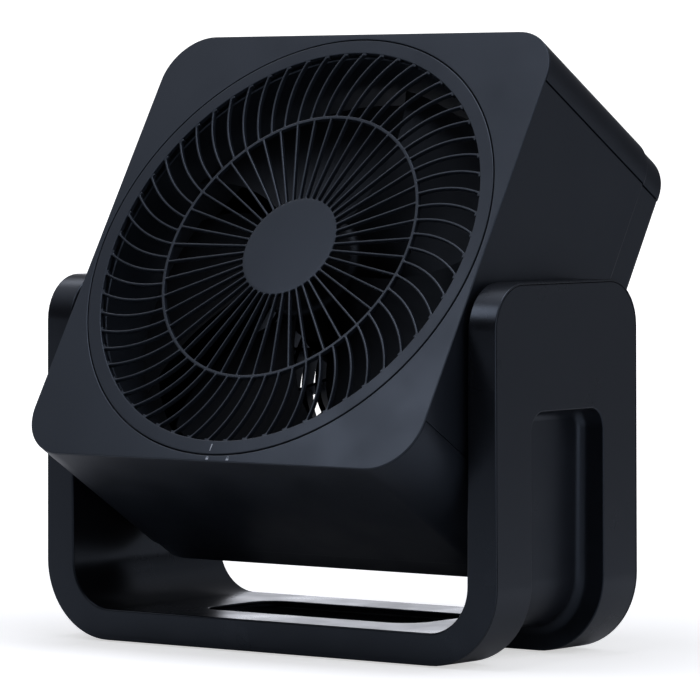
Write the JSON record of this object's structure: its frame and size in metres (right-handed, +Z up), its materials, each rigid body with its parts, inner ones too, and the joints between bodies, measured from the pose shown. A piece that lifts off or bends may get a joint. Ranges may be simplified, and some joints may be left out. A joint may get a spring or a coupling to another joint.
{
  "type": "box fan",
  "caption": "Square box fan on a U-shaped stand: tilting head with a twist-off round swirl-rib front grille, slotted rear intake, motor-driven fan and rotary speed knob.",
  "frame": {"origin": "on the floor, under the middle of the whole fan: halfway between its sides, and halfway between the front-most edge of the face and the rear-most point, the knob. The middle of the stand is 12 mm behind it", "axes": "+Z up; the fan blows towards -Y; +X is the right side for someone facing the front grille; the tilt axis runs along X"},
  "size_m": [0.3948, 0.315, 0.4278],
  "materials": {
    "head_plastic": "fine matte moulded plastic, dark slate",
    "stand_plastic": "satin moulded plastic, near black",
    "black_plastic": "matte moulded plastic, black",
    "pale_plastic": "moulded plastic",
    "rubber": "matt rubber",
    "steel": "plain sheet and turned steel",
    "painted_steel": "black enamel on pressed steel",
    "winding": "lacquered copper winding"
  },
  "bodies": {
    "stand": {"stand_frame": "stand_plastic", "stand_cover": "stand_plastic", "foot_front_left": "rubber", "foot_front_right": "rubber", "foot_rear_left": "rubber", "foot_rear_right": "rubber", "stand_screw_front_left": "steel", "stand_screw_front_right": "steel", "stand_screw_rear_left": "steel", "stand_screw_rear_right": "steel", "friction_washer_left": "rubber", "friction_washer_right": "rubber"},
    "head": {"front_bezel": "head_plastic", "head_shell_top": "head_plastic", "head_shell_bottom": "head_plastic", "side_panel_left": "head_plastic", "side_panel_right": "head_plastic", "rear_cover": "head_plastic", "cover_screw_top_left": "steel", "cover_screw_top_right": "steel", "cover_screw_bottom_left": "steel", "cover_screw_bottom_right": "steel", "tilt_stub_left": "black_plastic", "tilt_stub_right": "black_plastic", "tilt_retainer_left": "steel", "tilt_retainer_right": "steel", "tilt_screw_left": "steel", "tilt_screw_right": "steel", "motor_plate": "steel", "motor_can_rear": "painted_steel", "motor_can_front": "painted_steel", "motor_stator": "winding", "motor_bearing_front": "steel", "motor_bearing_rear": "steel", "motor_screw_1": "steel", "motor_screw_2": "steel", "motor_screw_3": "steel", "speed_switch": "black_plastic", "motor_capacitor": "black_plastic", "terminal_block": "pale_plastic", "motor_lead": "black_plastic", "cord_gland": "rubber"},
    "grille": {"front_grille": "head_plastic"},
    "rotor": {"fan_blade": "black_plastic", "motor_shaft": "steel", "motor_rotor": "steel", "fan_nut": "black_plastic"},
    "knob": {"speed_knob": "black_plastic"}
  },
  "joints": [
    {"name": "head_tilt", "type": "hinge", "parent": "stand", "child": "head", "pos_m": [0, -0.01212, 0.2184], "axis": [-1, 0, 0], "range_deg": [-31.2, 58.8]},
    {"name": "grille_twist", "type": "hinge", "parent": "head", "child": "grille", "pos_m": [0, -0.06931, 0.28226], "axis": [0, -0.8554, 0.518], "range_deg": [0, 6]},
    {"name": "rotor_spin", "type": "hinge", "parent": "head", "child": "rotor", "pos_m": [0, 0.00767, 0.23564], "axis": [0, -0.8554, 0.518], "continuous": true},
    {"name": "knob_turn", "type": "hinge", "parent": "head", "child": "knob", "pos_m": [0.121, 0.13878, 0.2977], "axis": [0, -0.8554, 0.518], "range_deg": [0, 135]}
  ]
}
